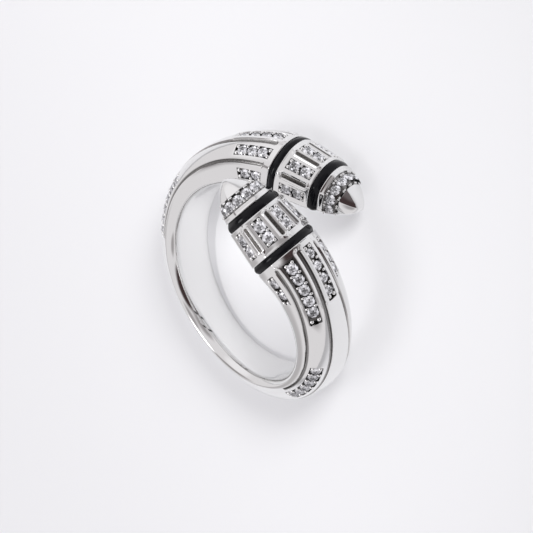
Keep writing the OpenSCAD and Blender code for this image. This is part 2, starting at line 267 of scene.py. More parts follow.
class Section:
    """The outline of every row of some stations, with each point's side and place on it."""

    def __init__(self, stations, corner_round=CORNER_ROUND):
        c = stations.section
        self.corner_round = corner_round
        self.groove_w = stations.groove_w
        # Side 0 is the first facet, which starts at corner 1
        self.start = np.roll(c, -1, axis=1)
        self.end = np.roll(c, -2, axis=1)
        self.length = np.linalg.norm(self.end - self.start, axis=-1)
        points, side, place = [], [], []
        for i in range(SIDES):
            if i < FACETS:
                x = facet_positions(self.length[:, i], self.groove_w, POCKET_HALF[i])
            else:
                x = plain_positions(self.length[:, i], FINGER_POINTS if i == FINGER_SIDE else BEVEL_POINTS)
            points.append(self.rounded(i, x))
            side.append(np.full(x.shape[1], i))
            place.append(x)
        self.points = np.concatenate(points, 1)
        self.side = np.concatenate(side)
        self.place = np.concatenate(place, 1)

    def on_side(self, i, x):
        """Points and directions on side i, at distances x from its first corner."""
        length = self.length[:, i][:, None]
        d = unit(self.end[:, i] - self.start[:, i])[:, None]
        n = np.stack([d[..., 1], -d[..., 0]], -1)
        bulge = FACET_BULGE if i < FACETS else 0.0
        s = x / length
        points = self.start[:, i][:, None] + x[..., None] * d + (4 * bulge * s * (1 - s))[..., None] * n
        return points, unit(d + (4 * bulge * (1 - 2 * s) / length)[..., None] * n)

    def rounded(self, i, x):
        """Points on side i, with the corners at both ends rounded off."""
        points, _ = self.on_side(i, x)
        length = self.length[:, i][:, None]
        for end in (0, 1):
            before, after = ((i - 1) % SIDES, i) if end == 0 else (i, (i + 1) % SIDES)
            r = BEVEL_ROUND if max(before, after) >= FACETS else self.corner_round
            shorter = np.minimum(self.length[:, before], self.length[:, after])
            r = np.minimum(r, MOST_ROUND * shorter)[:, None]
            p0, t0 = self.on_side(before, self.length[:, before][:, None] - r)
            p3, t3 = self.on_side(after, r)
            gap = length - x if end else x
            b = (0.5 - gap / (2 * r) if end else 0.5 + gap / (2 * r))[..., None]
            p1, p2 = p0 + PULL * r[..., None] * t0, p3 - PULL * r[..., None] * t3
            curve = (1 - b) ** 3 * p0 + 3 * b * (1 - b) ** 2 * p1 + 3 * b * b * (1 - b) * p2 + b ** 3 * p3
            points = np.where((gap < r)[..., None], curve, points)
        return points

    def from_middle(self):
        """Signed distance of each point from the middle of its side."""
        return self.place - self.length[:, self.side] / 2

    def from_corner(self):
        """Each point's distance from the nearest corner, and that corner's number."""
        second = self.from_middle() > 0
        gap = np.where(second, self.length[:, self.side] - self.place, self.place)
        return gap, self.side + second


# Grooves, pockets, rims and the pad, as heights over the plain facets. A shade is how much painted shade
# darkens a floor's colour.
EDGE = 0.03
SHOULDER_W, SHOULDER_DROP = 0.1, 0.02
GROOVE_DEPTH, ARM_GROOVE_SHADE, BARREL_GROOVE_SHADE = 0.2, 0.76, 1
GROOVE_END_FLAT = 0.01
POCKET_DEPTH, POCKET_SHADE = 0.42, 0.88
# The rims and the channel are whole down to RIM_WHOLE and CHANNEL_WHOLE, and gone at CHANNEL_END
RIM_W, RIM_H, RIM_WHOLE = 0.26, 0.09, 146.0
CHANNEL_DEPTH, CHANNEL_SHADE, CHANNEL_WHOLE, CHANNEL_END = 0.24, 0.95, 144.0, 133.0
# The channel's gap from the head, the length over which it fades in, and how soft its walls are
CHANNEL_GAP, CHANNEL_FADE, CHANNEL_SOFTNESS = 0.25, 0.6, 2
BARREL_CHANNEL_DEPTH, BARREL_CHANNEL_FADE, BARREL_CHANNEL_SOFTNESS = 0.1, 0.35, 3
PAD_W, PAD_H, PAD_REACH, PAD_ROUND, PAD_SOFTNESS = 1.74, 0.07, 0.46, 0.7, 1.5
# Height of the line that lengths on an arm are measured on, as a share of the crown's height
MEASURE_HEIGHT = 0.8
# Distances along the head at which the barrel's panels and the tip's band of stones start and end
PANEL_START, PANEL_END = 1.33, 3.8
PAVE_START, PAVE_END, PAVE_DEPTH, PAVE_SHADE = 5.52, 6.66, 0.2, 0.8


def box_gap(x, y, half_x, half_y, radius=0.0):
    """Distance outside a box with rounded corners, negative inside."""
    qx, qy = np.abs(x) - half_x + radius, np.abs(y) - half_y + radius
    return np.hypot(np.maximum(qx, 0), np.maximum(qy, 0)) + np.minimum(np.maximum(qx, qy), 0) - radius


def cut(gap, softness=1):
    """1 inside an outline and 0 outside, with a narrow edge that softness widens."""
    return smooth(0.5 - gap / softness / (2 * EDGE))


def shoulder(gap):
    """The soft edge that polishing leaves just outside an outline."""
    return SHOULDER_DROP * np.clip(1 - gap / SHOULDER_W, 0, 1) ** 2


def ridge(gap):
    """A round ridge that runs just outside an outline."""
    return smooth(1 - np.abs(gap - RIM_W / 2 - EDGE / 2) / (RIM_W / 2))


def arm_length(a, reference):
    """Distance along the arm from a reference angle, in millimetres, a little under the crown."""
    r = FINGER_R + MEASURE_HEIGHT * column(CROWN, np.asarray(a, float))
    return np.radians(a - reference) * r


class Relief:
    """Heights and shares of painted shade of a block of rows, which cuts are taken from."""

    def __init__(self, section):
        self.x = section.from_middle()
        self.corner_gap, self.corner = section.from_corner()
        self.side = section.side
        self.width = section.groove_w[:, None]
        self.height = np.zeros_like(self.x)
        self.dark = np.zeros_like(self.x)

    def sink(self, where, gap, depth, shade):
        """A floor at a depth, inside an outline, its colour darkened by painted shade."""
        share = np.where(where, cut(gap), 0)
        self.height = mix(self.height - np.where(where, shoulder(gap), 0), -depth, share)
        self.dark = np.maximum(self.dark, shade * share)

    def groove(self, corner, y, half, shade):
        """A round-ended groove along a corner. y is measured from the groove's middle."""
        gap = box_gap(self.corner_gap, y, self.width / 2, half,
                      self.width / 2 - GROOVE_END_FLAT)
        self.sink(self.corner == corner, gap, GROOVE_DEPTH, shade)
        return gap

    def rim(self, corner, gap, share, sides):
        """A raised rim round a groove, on some of the facets."""
        here = (self.corner == corner) & np.isin(self.side, sides)
        self.height = np.where(here, np.maximum(self.height, RIM_H * ridge(gap) * share), self.height)


def arm_relief(section, a, low_arm):
    """Heights and dark shares of an arm's rows at angles a."""
    a = a[:, None]
    work = Relief(section)
    # The sunk channel between two raised rims, on the outer slope next to the enamel
    end = arm_length(HEAD_A, a)
    whole = 1 - smooth((CHANNEL_WHOLE - a) / (CHANNEL_WHOLE - CHANNEL_END))
    fade = smooth((end - CHANNEL_GAP) / CHANNEL_FADE) * whole
    half = section.length[:, [OUTER_SLOPE]] / 2 - work.width / 2 - RIM_W
    channel = np.where(work.side == OUTER_SLOPE, fade * cut(np.abs(work.x) - half, CHANNEL_SOFTNESS), 0)
    work.height -= CHANNEL_DEPTH * channel
    # The channel's colour is darkened with painted shade and reflection
    work.dark += CHANNEL_SHADE * channel
    # The raised pad with a round end, on the crown
    foot = PANELS[TOP][2]
    length = arm_length(HEAD_A, foot)
    y = arm_length(a, foot) - length / 2
    gap = box_gap(work.x, y + PAD_REACH / 2, PAD_W / 2, (length + PAD_REACH) / 2, PAD_ROUND)
    work.height += np.where(work.side == TOP, PAD_H * cut(gap, PAD_SOFTNESS), 0)
    rim_share = 1 - smooth((RIM_WHOLE - a) / (RIM_WHOLE - CHANNEL_END))
    for corner, start, end in GROOVES:
        middle = (start + end) / 2
        y = arm_length(a, middle)
        head, foot = arm_length(start, middle), -arm_length(end, middle)
        half = (head + foot) / 2
        gap = work.groove(corner, y - (head - foot) / 2, half, ARM_GROOVE_SHADE)
        if corner in (OUTER_SLOPE, OUTER_SLOPE + 1):
            work.rim(corner, gap, rim_share, [OUTER_SLOPE])
    strip_side = INNER_SLOPE if low_arm else OUTER_SLOPE
    for panel in PANELS + [(strip_side,) + STRIP]:
        facet, start, end = panel[:3]
        middle = (start + end) / 2
        half = arm_length(start, middle)
        gap = box_gap(work.x, arm_length(a, middle), POCKET_HALF[facet], half)
        work.sink(work.side == facet, gap, POCKET_DEPTH, POCKET_SHADE)
    return work.height, work.dark


def barrel_relief(section, s):
    """Heights and dark shares of a barrel's rows at distances s along the head."""
    work = Relief(section)
    y, half = s[:, None] - (PANEL_START + PANEL_END) / 2, (PANEL_END - PANEL_START) / 2
    # The sunk middle panel between two raised rims
    fade = smooth((half + BARREL_CHANNEL_FADE - np.abs(y)) / BARREL_CHANNEL_FADE)
    inner = section.length[:, [OUTER_SLOPE]] / 2 - work.width / 2 - RIM_W
    channel = BARREL_CHANNEL_DEPTH * fade * cut(np.abs(work.x) - inner, BARREL_CHANNEL_SOFTNESS)
    work.height -= np.where(work.side == OUTER_SLOPE, channel, 0)
    for corner, _, _ in GROOVES:
        gap = work.groove(corner, y, half, BARREL_GROOVE_SHADE)
        work.rim(corner, gap, 1, range(FACETS))
    pocket = POCKET_HALF[np.minimum(work.side, FACETS - 1)]
    work.sink(work.side < FACETS, box_gap(work.x, y, pocket, half), POCKET_DEPTH, POCKET_SHADE)
    return work.height, work.dark


def tip_relief(section, s):
    """Heights and dark shares of a tip's rows, with one sunk band all round."""
    work = Relief(section)
    gap = np.abs(s - (PAVE_START + PAVE_END) / 2) - (PAVE_END - PAVE_START) / 2
    work.sink(work.side < FACETS, gap[:, None] + 0 * work.x, PAVE_DEPTH, PAVE_SHADE)
    return work.height, work.dark


def graded(start, end, breaks, fine, coarse, scale=1.0):
    """Values from start to end, close together near the breaks. scale turns them into millimetres."""
    out = [start]
    while out[-1] < end:
        gap = min(abs(out[-1] + fine / scale - b) for b in breaks) * scale
        out.append(out[-1] + min(max(0.5 * gap, fine), coarse) / scale)
    out[-1] = end
    return np.array(out)


# Gaps between rows: at an edge, and the widest on the arms, the barrels and the tips
FINE_ROWS, ARM_ROWS, BARREL_ROWS, TIP_ROWS = 0.042, 0.6, 0.25, 0.14
LAST_ARM_A = 159.6
MM_PER_DEGREE = 0.21
# A lip's rounded edge: its length, how far it drops, and the shares of a quarter circle at its rows
LIP_EDGE, LIP_DROP = 0.08, 0.35
LIP_ROWS = np.array([0.0, 0.3, 0.6, 0.85, 1.0])
ROW_GAP = 0.02
# Shares of the tip's length at which its last rows lie
TIP_POINT_START = 0.86
TIP_POINT_ROWS = np.array([0.9, 0.93, 0.955, 0.975, 0.988, 0.996])


def half_rows(low_arm):
    """Every row of one half of the band: points, heights and dark shares, from the shank to the tip."""
    breaks = [p for row in PANELS + [(0,) + STRIP] + GROOVES for p in row[1:3]]
    breaks.append(PANELS[TOP][2] - PAD_REACH / MM_PER_DEGREE)
    a = graded(0.0, LAST_ARM_A, breaks, FINE_ROWS, ARM_ROWS, scale=MM_PER_DEGREE)
    arm = arm_stations(a)
    section = Section(arm)
    blocks = [(arm.place(section.points),) + arm_relief(section, a, low_arm)]

    def add(s, size, relief=None):
        stations = head_stations(s, size)
        outline = Section(stations)
        points = stations.place(outline.points)
        plain = np.zeros(points.shape[:2])
        blocks.append((points,) + (relief(outline, np.asarray(s)) if relief else (plain, plain)))

    lip = LIP_EDGE * np.sin(LIP_ROWS * math.pi / 2)
    drop = LIP_EDGE * LIP_DROP * (1 - np.cos(LIP_ROWS * math.pi / 2))
    add(ARM_LIP - LIP_EDGE + lip, 1 - drop)
    add([ARM_LIP + ROW_GAP, BARREL_START - ROW_GAP], [NECK_SIZE, NECK_SIZE])
    add((BARREL_START + LIP_EDGE - lip)[::-1], 1 - drop[::-1])
    s = graded(BARREL_START + LIP_EDGE + ROW_GAP, BARREL_END - LIP_EDGE - ROW_GAP,
               [PANEL_START, PANEL_END], FINE_ROWS, BARREL_ROWS)
    add(s, barrel_size(s), barrel_relief)
    add(BARREL_END - LIP_EDGE + lip, BARREL_TAPER * (1 - drop))
    add([BARREL_END + ROW_GAP, TIP_START - ROW_GAP], [NECK_SIZE * BARREL_TAPER, NECK_SIZE * COLLAR_SIZE])
    add((TIP_START + LIP_EDGE - lip)[::-1], COLLAR_SIZE * (1 - drop[::-1]))
    s = graded(TIP_START + LIP_EDGE + ROW_GAP, TIP_START + TIP_POINT_START * TIP_LEN,
               [PAVE_START, PAVE_END], FINE_ROWS, TIP_ROWS)
    s = np.concatenate([s, TIP_START + TIP_LEN * TIP_POINT_ROWS])
    add(s, tip_size((s - TIP_START) / TIP_LEN), tip_relief)
    return [np.concatenate([b[i] for b in blocks]) for i in range(3)]


def raised(points, height):
    """Moves each point of a grid along its normal."""
    across = np.roll(points, -1, 1) - np.roll(points, 1, 1)
    onward = np.gradient(points, axis=0)
    normal = np.cross(onward, across)
    normal = normal / np.maximum(np.linalg.norm(normal, axis=-1, keepdims=True), TINY)
    return points + height[..., None] * normal


def turned_half(grid):
    """A grid after half a turn, with its rows and points in the other half's order."""
    grid = grid[:, MIRRORED]
    return (grid * HALF_TURN if grid.ndim == 3 else grid)[::-1]


def grid_faces(rows, columns):
    """Faces between the rows of a grid whose last column is next to its first."""
    i, j = np.meshgrid(np.arange(rows - 1), np.arange(columns), indexing="ij")
    k = (j + 1) % columns
    return np.stack([i * columns + j, (i + 1) * columns + j, (i + 1) * columns + k, i * columns + k],
                    -1).reshape(-1, 4).tolist()


def new_object(name, data):
    thing = bpy.data.objects.new(name, data)
    bpy.context.scene.collection.objects.link(thing)
    return thing


def new_piece(name, points, faces, material, nodes, angle, dark=None):
    """A finished mesh object that rides on the ring and stands for its nodes."""
    mesh = bpy.data.meshes.new(name)
    mesh.from_pydata(points.tolist(), [], faces)
    mesh.polygons.foreach_set("use_smooth", [True] * len(mesh.polygons))
    if dark is not None:
        mesh.attributes.new("dark", "FLOAT", "POINT").data.foreach_set("value", dark.astype(np.float32))
    mesh.set_sharp_from_angle(angle=math.radians(angle))
    mesh.materials.append(material)
    return dress(new_object(name, mesh), nodes)


def dress(piece, nodes):
    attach(piece, "root")
    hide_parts(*nodes)
    return piece


# Materials

BUMP_DISTANCE = 0.0002


class Value:
    """A node's output, so that shader maths reads as ordinary expressions."""

    def __init__(self, tree, socket):
        self.tree, self.socket = tree, socket

    def combine(self, operation, first, second):
        return self.tree.node("ShaderNodeMath", {"operation": operation}, first, second)

    def __add__(self, other):
        return self.combine("ADD", self, other)

    def __mul__(self, other):
        return self.combine("MULTIPLY", self, other)

    def __sub__(self, other):
        return self.combine("SUBTRACT", self, other)

    def __rsub__(self, other):
        return self.combine("SUBTRACT", other, self)

    __radd__, __rmul__ = __add__, __mul__


class Tree:
    """A node tree in which each node comes from one call."""

    def __init__(self, node_tree):
        self.nodes, self.links = node_tree.nodes, node_tree.links

    def make(self, kind, settings=None):
        node = self.nodes.new(kind)
        for key, value in (settings or {}).items():
            if key == "stops":
                ramp = node.color_ramp.elements
                while len(ramp) < len(value):
                    ramp.new(0.5)
                for element, (position, colour) in zip(ramp, value):
                    element.position, element.color = position, colour
            else:
                setattr(node, key, value)
        return node

    def feed(self, socket, value):
        if isinstance(value, Value):
            self.links.new(value.socket, socket)
        else:
            socket.default_value = value

    def node(self, kind, settings=None, *values, output=0, **named):
        node = self.make(kind, settings)
        for name, value in list(enumerate(values)) + list(named.items()):
            self.feed(node.inputs[name.replace("_", " ") if isinstance(name, str) else name], value)
        return Value(self, node.outputs[output])

    def noise(self, scale, detail):
        place = self.node("ShaderNodeTexCoord", output="Object")
        return self.node("ShaderNodeTexNoise", None, Vector=place, Scale=scale, Detail=detail)

    def bump(self, height, strength):
        return self.node("ShaderNodeBump", None, Height=height, Strength=strength, Distance=BUMP_DISTANCE)

    def blend(self, factor, first, second):
        node = self.make("ShaderNodeMix", {"data_type": "RGBA"})
        for name, value in (("Factor", factor), ("A", first), ("B", second)):
            self.feed(next(i for i in node.inputs if i.name == name and i.enabled), value)
        return Value(self, next(o for o in node.outputs if o.enabled))


def new_material(name):
    material = bpy.data.materials.new(name)
    material.use_nodes = True
    tree = Tree(material.node_tree)
    shader = material.node_tree.nodes["Principled BSDF"]
    return material, tree, shader


def surface(tree, shader, **named):
    for name, value in named.items():
        tree.feed(shader.inputs[name.replace("_", " ")], value)


def polished_silver():
    """Bright polished metal whose colour painted shade darkens wherever the attribute says so, with a
    rougher, grainy floor there.
    """
    material, tree, shader = new_material("polished_silver")
    # The dark colour that the attribute mixes in is painted shade and reflection of the grooves, pockets
    # and channel
    bright_colour, painted_shade_colour = (0.83, 0.83, 0.825, 1), (0.055, 0.048, 0.042, 1)
    least_dark, grain_dark = 0.75, 0.35
    wave_height, grain_height = 0.6, 0.12
    polish, wave_rough, floor_rough = 0.04, 0.04, 0.28
    dark = tree.node("ShaderNodeAttribute", {"attribute_name": "dark"}, output="Fac")
    waves = tree.noise(scale=420.0, detail=1.0)
    grain = tree.noise(scale=7000.0, detail=2.0)
    colour = tree.blend(dark * (grain * grain_dark + least_dark), bright_colour, painted_shade_colour)
    height = waves * wave_height + grain * dark * grain_height
    surface(tree, shader, Base_Color=colour, Metallic=1.0, Normal=tree.bump(height, strength=0.1),
            Roughness=waves * wave_rough + dark * floor_rough + polish)
    return material


def black_enamel():
    """Glossy black glass with slightly lighter clouds."""
    material, tree, shader = new_material("black_enamel")
    deep, light = (0.001, 0.001, 0.0015, 1), (0.004, 0.004, 0.005, 1)
    polish, cloud_rough = 0.03, 0.06
    cloud = tree.noise(scale=900.0, detail=2.0)
    surface(tree, shader, Base_Color=tree.blend(cloud, deep, light), IOR=1.26,
            Roughness=cloud * cloud_rough + polish, Normal=tree.bump(cloud, strength=0.12))
    return material


def clear_stone():
    """Cut stones whose facets are painted dark, grey or bright by their own glint: painted reflections and
    sparkle.
    """
    material, tree, shader = new_material("clear_stone")
    # Colours from dark to bright, painted reflections of the facets
    stops = [(0.1, (0.035, 0.035, 0.037, 1)), (0.45, (0.22, 0.22, 0.23, 1)), (0.85, (0.7, 0.7, 0.73, 1))]
    cloud_glint, polish, cloud_rough = 0.8, 0.03, 0.1
    glint = tree.node("ShaderNodeAttribute", {"attribute_name": "glint"}, output="Fac")
    cloud = tree.noise(scale=1700.0, detail=1.0)
    glint = glint + cloud * cloud_glint - cloud_glint / 2
    colour = tree.node("ShaderNodeValToRGB", {"stops": stops}, glint, output="Color")
    surface(tree, shader, Base_Color=colour, Roughness=cloud * cloud_rough + polish, Metallic=0.5, IOR=1.9)
    return material


SILVER, ENAMEL, STONE = polished_silver(), black_enamel(), clear_stone()

# The band in one skin, from the lower arm's tip over the shank to the upper arm's tip

FACET_COLUMNS = 2 * (len(CORNER_POINTS) + FILL_POINTS + len(MIDDLE_POINTS)) - 2
COLUMNS = FACETS * FACET_COLUMNS + 2 * BEVEL_POINTS + FINGER_POINTS
MIRRORED = (FACETS * FACET_COLUMNS - np.arange(COLUMNS)) % COLUMNS


def make_band():
    low, high = half_rows(True), half_rows(False)
    points, height, dark = [np.concatenate([turned_half(l)[:-1], h]) for l, h in zip(low, high)]
    points = raised(points, height)
    rows = len(points)
    ends = np.stack([points[0].mean(0), points[-1].mean(0)])
    first, last = rows * COLUMNS, rows * COLUMNS + 1
    # The fans that close both tips
    around = [(j, (j + 1) % COLUMNS) for j in range(COLUMNS)]
    base = (rows - 1) * COLUMNS
    faces = grid_faces(rows, COLUMNS)
    faces += [[j, k, first] for j, k in around] + [[base + k, base + j, last] for j, k in around]
    everything = np.concatenate([points.reshape(-1, 3), ends])
    new_piece("silver_band", laid(everything), faces, SILVER, ["band"], angle=38,
              dark=np.concatenate([dark.ravel(), [0, 0]]))


def make_enamel(name, s0, s1, size0, size1, low_arm):
    """A closed black ring: a slightly rounded outer wall and a plain inner wall in the neck."""
    across = np.linspace(0, 1, ENAMEL_STEPS + 1)
    s = mix(s0 + ENAMEL_GAP, s1 - ENAMEL_GAP, across)
    outer = mix(size0, size1, across) - ENAMEL_SINK + ENAMEL_BULGE * np.sin(across * math.pi)
    half_way = ENAMEL_STEPS // 2
    inner = mix(size0, size1, across[::half_way]) * (NECK_SIZE + ENAMEL_INNER_GAP)
    stations = head_stations(np.concatenate([s, s[::-half_way]]), np.concatenate([outer, inner[::-1]]))
    points = stations.place(Section(stations, ENAMEL_ROUND).points)
    if low_arm:
        points = points * HALF_TURN
    rows = len(points)
    faces = [[v % (rows * COLUMNS) for v in f] for f in grid_faces(rows + 1, COLUMNS)]
    new_piece("black_" + name, laid(points.reshape(-1, 3)), faces, ENAMEL, [name], angle=40)


# Stones and the beads and wedges that hold them

# Half sizes along the row, across it and upwards
BEAD, WEDGE, TIP_BEAD = (0.19, 0.19, 0.17), (0.14, 0.2, 0.15), (0.12, 0.12, 0.12)
# Insets from a pocket's walls and ends, and how deep each thing sits under the plain facet
WEDGE_INSET, END_BEAD_INSET = 0.12, 0.16
STONE_SINK, WEDGE_SINK, TIP_STONE_SINK, TIP_BEAD_SINK = 0.13, 0.05, 0.11, 0.03
# Place of an end bead across a pocket, as a share of its half width
END_BEAD_X = 0.62
# The tip's rows of beads: distance along the head, half the gap in a pair as a share of a stone's room
TIP_BEAD_ROWS = ((PAVE_START + 0.12, 0.13), (PAVE_END - 0.1, 0.12))
LEAST_SHARE = 0.004
BEAD_DETAIL = 2
STONE_SEED, GLINT_SPREAD = 7, 0.16
# Steps for finding directions by comparing two places
UP_STEP, AHEAD_STEP, TILT_STEP, EDGE_STEP = 0.1, 0.05, 0.35, 0.01


def brilliant():
    """A round cut stone of radius 1. Each facet has its own glint, a painted reflection that sets how
    bright its colour is.
    """
    def ring(count, turn, radius, z):
        t = 2 * math.pi * (np.arange(count) + turn) / count
        return np.stack([radius * np.cos(t), radius * np.sin(t), z + 0 * t], -1)
    table_z, culet_z = 0.35, -0.8
    points = np.concatenate([ring(8, 0, 0.26, table_z), ring(8, 0.5, 0.56, 0.34), ring(8, 0, 0.79, 0.2),
                             ring(16, 0, 1.0, 0.0), [[0, 0, table_z], [0, 0, culet_z]]])
    # Where each ring's points start in the list
    heart, table, star, girdle, middle, culet = 0, 8, 16, 24, 40, 41
    rng = np.random.default_rng(STONE_SEED)
    faces, glints = [], []

    def facet(corner_points, glint):
        faces.append(corner_points)
        glints.append(np.clip(glint + rng.uniform(-GLINT_SPREAD, GLINT_SPREAD), 0, 1))

    for i in range(8):
        before, after, odd = (i - 1) % 8, (i + 1) % 8, i % 2
        main, right, left = girdle + 2 * i, girdle + 2 * i + 1, girdle + (2 * i - 1) % 16
        facet([middle, heart + i, heart + after], 0.12 + 0.3 * odd)
        facet([heart + i, table + i, heart + after], 0.6 - 0.3 * odd)
        facet([heart + i, table + before, table + i], 0.2 + 0.45 * odd)
        facet([table + before, star + i, table + i], 0.85 - 0.3 * odd)
        facet([table + i, star + i, right], 0.75)
        facet([table + i, right, star + after], 0.45 + 0.4 * odd)
        facet([star + i, main, right], 0.2 + 0.3 * odd)
        facet([star + i, left, main], 0.85 - 0.5 * odd)
        facet([main, culet, right], 0.1)
        facet([right, culet, girdle + (2 * i + 2) % 16], 0.1)
    mesh = bpy.data.meshes.new("brilliant")
    mesh.from_pydata(points.tolist(), [], faces)
    mesh.attributes.new("glint", "FLOAT", "FACE").data.foreach_set("value", glints)
    return new_object("brilliant", mesh)


def seats(stations, facet, x):
    """Places on a facet with their outward directions. x is measured from the facet's first corner."""
    section = Section(stations)
    p, t = section.on_side(facet, x[:, None])
    n = np.stack([t[..., 1], -t[..., 0]], -1)
    places = stations.place(p)[:, 0]
    return places, unit(stations.place(p + UP_STEP * n)[:, 0] - places)


class Setting:
    """Gathers the stones, beads and wedges of one field."""

    def __init__(self):
        self.rows = []

    def put(self, place, up, forward, size, sink, bead):
        for p, u, f in zip(place - sink * up, up, forward):
            self.rows.append((p, u, f, size, bead))

    def on_facet(self, stations_of, t, facet, x, size, sink, bead):
        """x is measured from the facet's middle."""
        t = np.asarray(t, float)
        stations = stations_of(t)
        x = Section(stations).length[:, facet] / 2 + x
        places, up = seats(stations, facet, x)
        ahead, _ = seats(stations_of(t + AHEAD_STEP), facet, x)
        self.put(places, up, unit(ahead - places), size, sink, bead)

    def panel(self, stations_of, facet, ends, stones, stone_d, per_mm):
        """A row of stones, with a pair of wedges between two stones and a pair of beads at each end."""
        stones = np.asarray(stones, float)
        self.on_facet(stations_of, stones, facet, 0, [stone_d / 2] * 3, STONE_SINK, False)
        between = (stones[1:] + stones[:-1]) / 2
        inset = END_BEAD_INSET / per_mm * np.sign(ends[1] - ends[0])
        ends = [ends[0] + inset, ends[1] - inset]
        for sign in (-1, 1):
            wall = sign * POCKET_HALF[facet]
            self.on_facet(stations_of, between, facet, wall - sign * WEDGE_INSET, WEDGE, WEDGE_SINK, True)
            self.on_facet(stations_of, ends, facet, wall * END_BEAD_X, BEAD, WEDGE_SINK, True)

    def round_row(self, s, share, size, sink, bead):
        """Things round the tip, each at a share of the way along the facets' outline."""
        s, share = np.full(len(share), float(s)), np.asarray(share)
        stations = tip_at(s)
        length = Section(stations).length[:, :FACETS]
        reach = np.cumsum(length, 1)
        centres, ups = [], []
        for step in (0, -TILT_STEP, TILT_STEP):
            u = np.clip(share * reach[:, -1] + step, EDGE_STEP, reach[:, -1] - EDGE_STEP)
            facet = (u[:, None] > reach).sum(1)
            x = u - np.where(facet > 0, reach[np.arange(len(s)), facet - 1], 0)
            found = [seats(tip_at(s[[i]]), facet[i], x[[i]]) for i in range(len(s))]
            centres.append(np.concatenate([f[0] for f in found]))
            ups.append(np.concatenate([f[1] for f in found]))
        up = unit(ups[1] + ups[2])
        forward = unit(HEAD_AXIS - (up @ HEAD_AXIS)[:, None] * up)
        self.put(centres[0], up, forward, size, sink, bead)


def barrel_at(s):
    return head_stations(s, barrel_size(s))


def tip_at(s):
    return head_stations(s, tip_size((s - TIP_START) / TIP_LEN))


def arm_field(low_arm):
    field = Setting()
    strip_side = INNER_SLOPE if low_arm else OUTER_SLOPE
    for facet, start, end, stones, stone_d in PANELS + [(strip_side,) + STRIP]:
        per_mm = abs(arm_length(start, end)) / abs(start - end)
        field.panel(arm_stations, facet, (start, end), stones, stone_d, per_mm)
    return field


def barrel_field():
    field = Setting()
    for facet in range(FACETS):
        field.panel(barrel_at, facet, (PANEL_START, PANEL_END), BARREL_STONES, BARREL_STONE_D, 1.0)
    return field


def tip_field():
    """A row of stones round the tip, with a pair of beads at both ends of the gap between neighbours."""
    field = Setting()
    steps = np.arange(TIP_STONES)
    field.round_row(TIP_ROW_S, (steps + 0.5) / TIP_STONES, [TIP_STONE_D / 2] * 3, TIP_STONE_SINK, False)
    gaps = np.arange(TIP_STONES + 1)
    for s, step in TIP_BEAD_ROWS:
        for sign in (-1, 1):
            share = np.clip((gaps + sign * step) / TIP_STONES, LEAST_SHARE, 1 - LEAST_SHARE)
            field.round_row(s, share, TIP_BEAD, TIP_BEAD_SINK, True)
    return field


def setting_tree():
    """Places a cut stone or a round bead at each point, by the point's own attributes."""
    group = bpy.data.node_groups.new("set_stones", "GeometryNodeTree")
    sockets = (("Geometry", "Geometry", "INPUT"), ("Stone", "Object", "INPUT"),
               ("Bead detail", "Int", "INPUT"), ("Stone finish", "Material", "INPUT"),
               ("Bead finish", "Material", "INPUT"), ("Geometry", "Geometry", "OUTPUT"))
    for name, kind, way in sockets:
        group.interface.new_socket(name, in_out=way, socket_type="NodeSocket" + kind)
    tree = Tree(group)
    start = tree.make("NodeGroupInput")
    given = {o.name: Value(tree, o) for o in start.outputs}

    def named(name, kind):
        return tree.node("GeometryNodeInputNamedAttribute", {"data_type": kind}, name)

    turn = tree.node("FunctionNodeAxesToRotation", {"primary_axis": "Z", "secondary_axis": "X"},
                     named("up", "FLOAT_VECTOR"), named("forward", "FLOAT_VECTOR"))
    size = named("size", "FLOAT_VECTOR")
    bead = named("bead", "BOOLEAN")
    not_bead = tree.node("FunctionNodeBooleanMath", {"operation": "NOT"}, bead)
    cut_stone = tree.node("GeometryNodeObjectInfo", None, given["Stone"], output="Geometry")
    ball = tree.node("GeometryNodeMeshIcoSphere", None, 1.0, given["Bead detail"])
    ball = tree.node("GeometryNodeSetShadeSmooth", None, ball)
    branches = []
    for shape, chosen, finish in ((cut_stone, not_bead, "Stone finish"), (ball, bead, "Bead finish")):
        made = tree.node("GeometryNodeInstanceOnPoints", None, Points=given["Geometry"], Selection=chosen,
                         Instance=shape, Rotation=turn, Scale=size)
        made = tree.node("GeometryNodeRealizeInstances", None, made)
        branches.append(tree.node("GeometryNodeSetMaterial", None, Geometry=made, Material=given[finish]))
    join = tree.make("GeometryNodeJoinGeometry")
    for branch in branches:
        tree.links.new(branch.socket, join.inputs[0])
    end = tree.make("NodeGroupOutput")
    tree.links.new(join.outputs[0], end.inputs[0])
    return group


def set_field(name, field, low_arm, group, stone):
    """Runs the tree on one field's points and keeps the plain mesh that it gives."""
    place, up, forward = [np.array([r[i] for r in field.rows]) for i in range(3)]
    if low_arm:
        place, up, forward = place * HALF_TURN, up * HALF_TURN, forward * HALF_TURN
    mesh = bpy.data.meshes.new(name + "_points")
    mesh.from_pydata(laid(place).tolist(), [], [])
    sizes = MM * np.array([r[3] for r in field.rows])
    for key, values in (("up", up @ LAY.T), ("forward", forward @ LAY.T), ("size", sizes)):
        mesh.attributes.new(key, "FLOAT_VECTOR", "POINT").data.foreach_set("vector", values.ravel())
    mesh.attributes.new("bead", "BOOLEAN", "POINT").data.foreach_set("value", [r[4] for r in field.rows])
    holder = new_object(name + "_holder", mesh)
    modifier = holder.modifiers.new("set_stones", "NODES")
    modifier.node_group = group
    values = {"Stone": stone, "Bead detail": BEAD_DETAIL, "Stone finish": STONE, "Bead finish": SILVER}
    for item in group.interface.items_tree:
        if item.in_out == "INPUT" and item.name in values:
            modifier[item.identifier] = values[item.name]
    bpy.context.view_layer.update()
    graph = bpy.context.evaluated_depsgraph_get()
    result = bpy.data.meshes.new_from_object(holder.evaluated_get(graph), depsgraph=graph)
    result.name = "set_" + name
    piece = new_object("set_" + name, result)
    bpy.data.objects.remove(holder)
    return dress(piece, [name])


